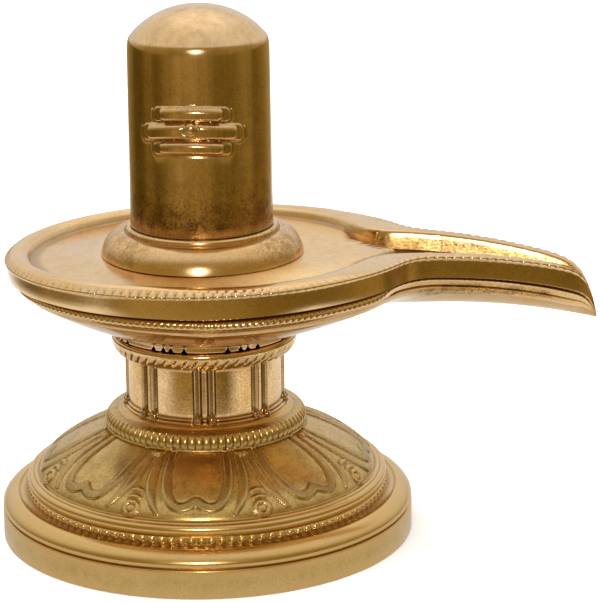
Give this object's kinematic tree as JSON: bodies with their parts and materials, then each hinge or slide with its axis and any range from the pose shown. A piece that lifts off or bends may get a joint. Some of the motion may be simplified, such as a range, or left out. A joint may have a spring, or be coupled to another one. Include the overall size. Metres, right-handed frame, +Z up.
{
  "type": "brass shiva lingam",
  "caption": "Polished brass shiva lingam: a domed shaft in a collar on an oval yoni dish with a long drooping spout, raised on a short drum and a lotus petal base.",
  "frame": {"origin": "middle of the foot's flat underside", "axes": "+Z up along the shaft, +X along the spout, -Y towards the marked front of the shaft"},
  "size_m": [0.1157, 0.08, 0.103],
  "materials": {
    "shaft_brass": "polished, aged brown",
    "collar_brass": "polished",
    "dish_brass": "polished, soft grain",
    "drum_brass": "polished over a cast grain",
    "base_brass": "polished, dark in the grooves"
  },
  "bodies": {
    "root": {"lingam": "shaft_brass", "collar_ring": "collar_brass", "yoni_dish": "dish_brass", "neck_drum": "drum_brass", "lotus_base": "base_brass"}
  },
  "joints": []
}
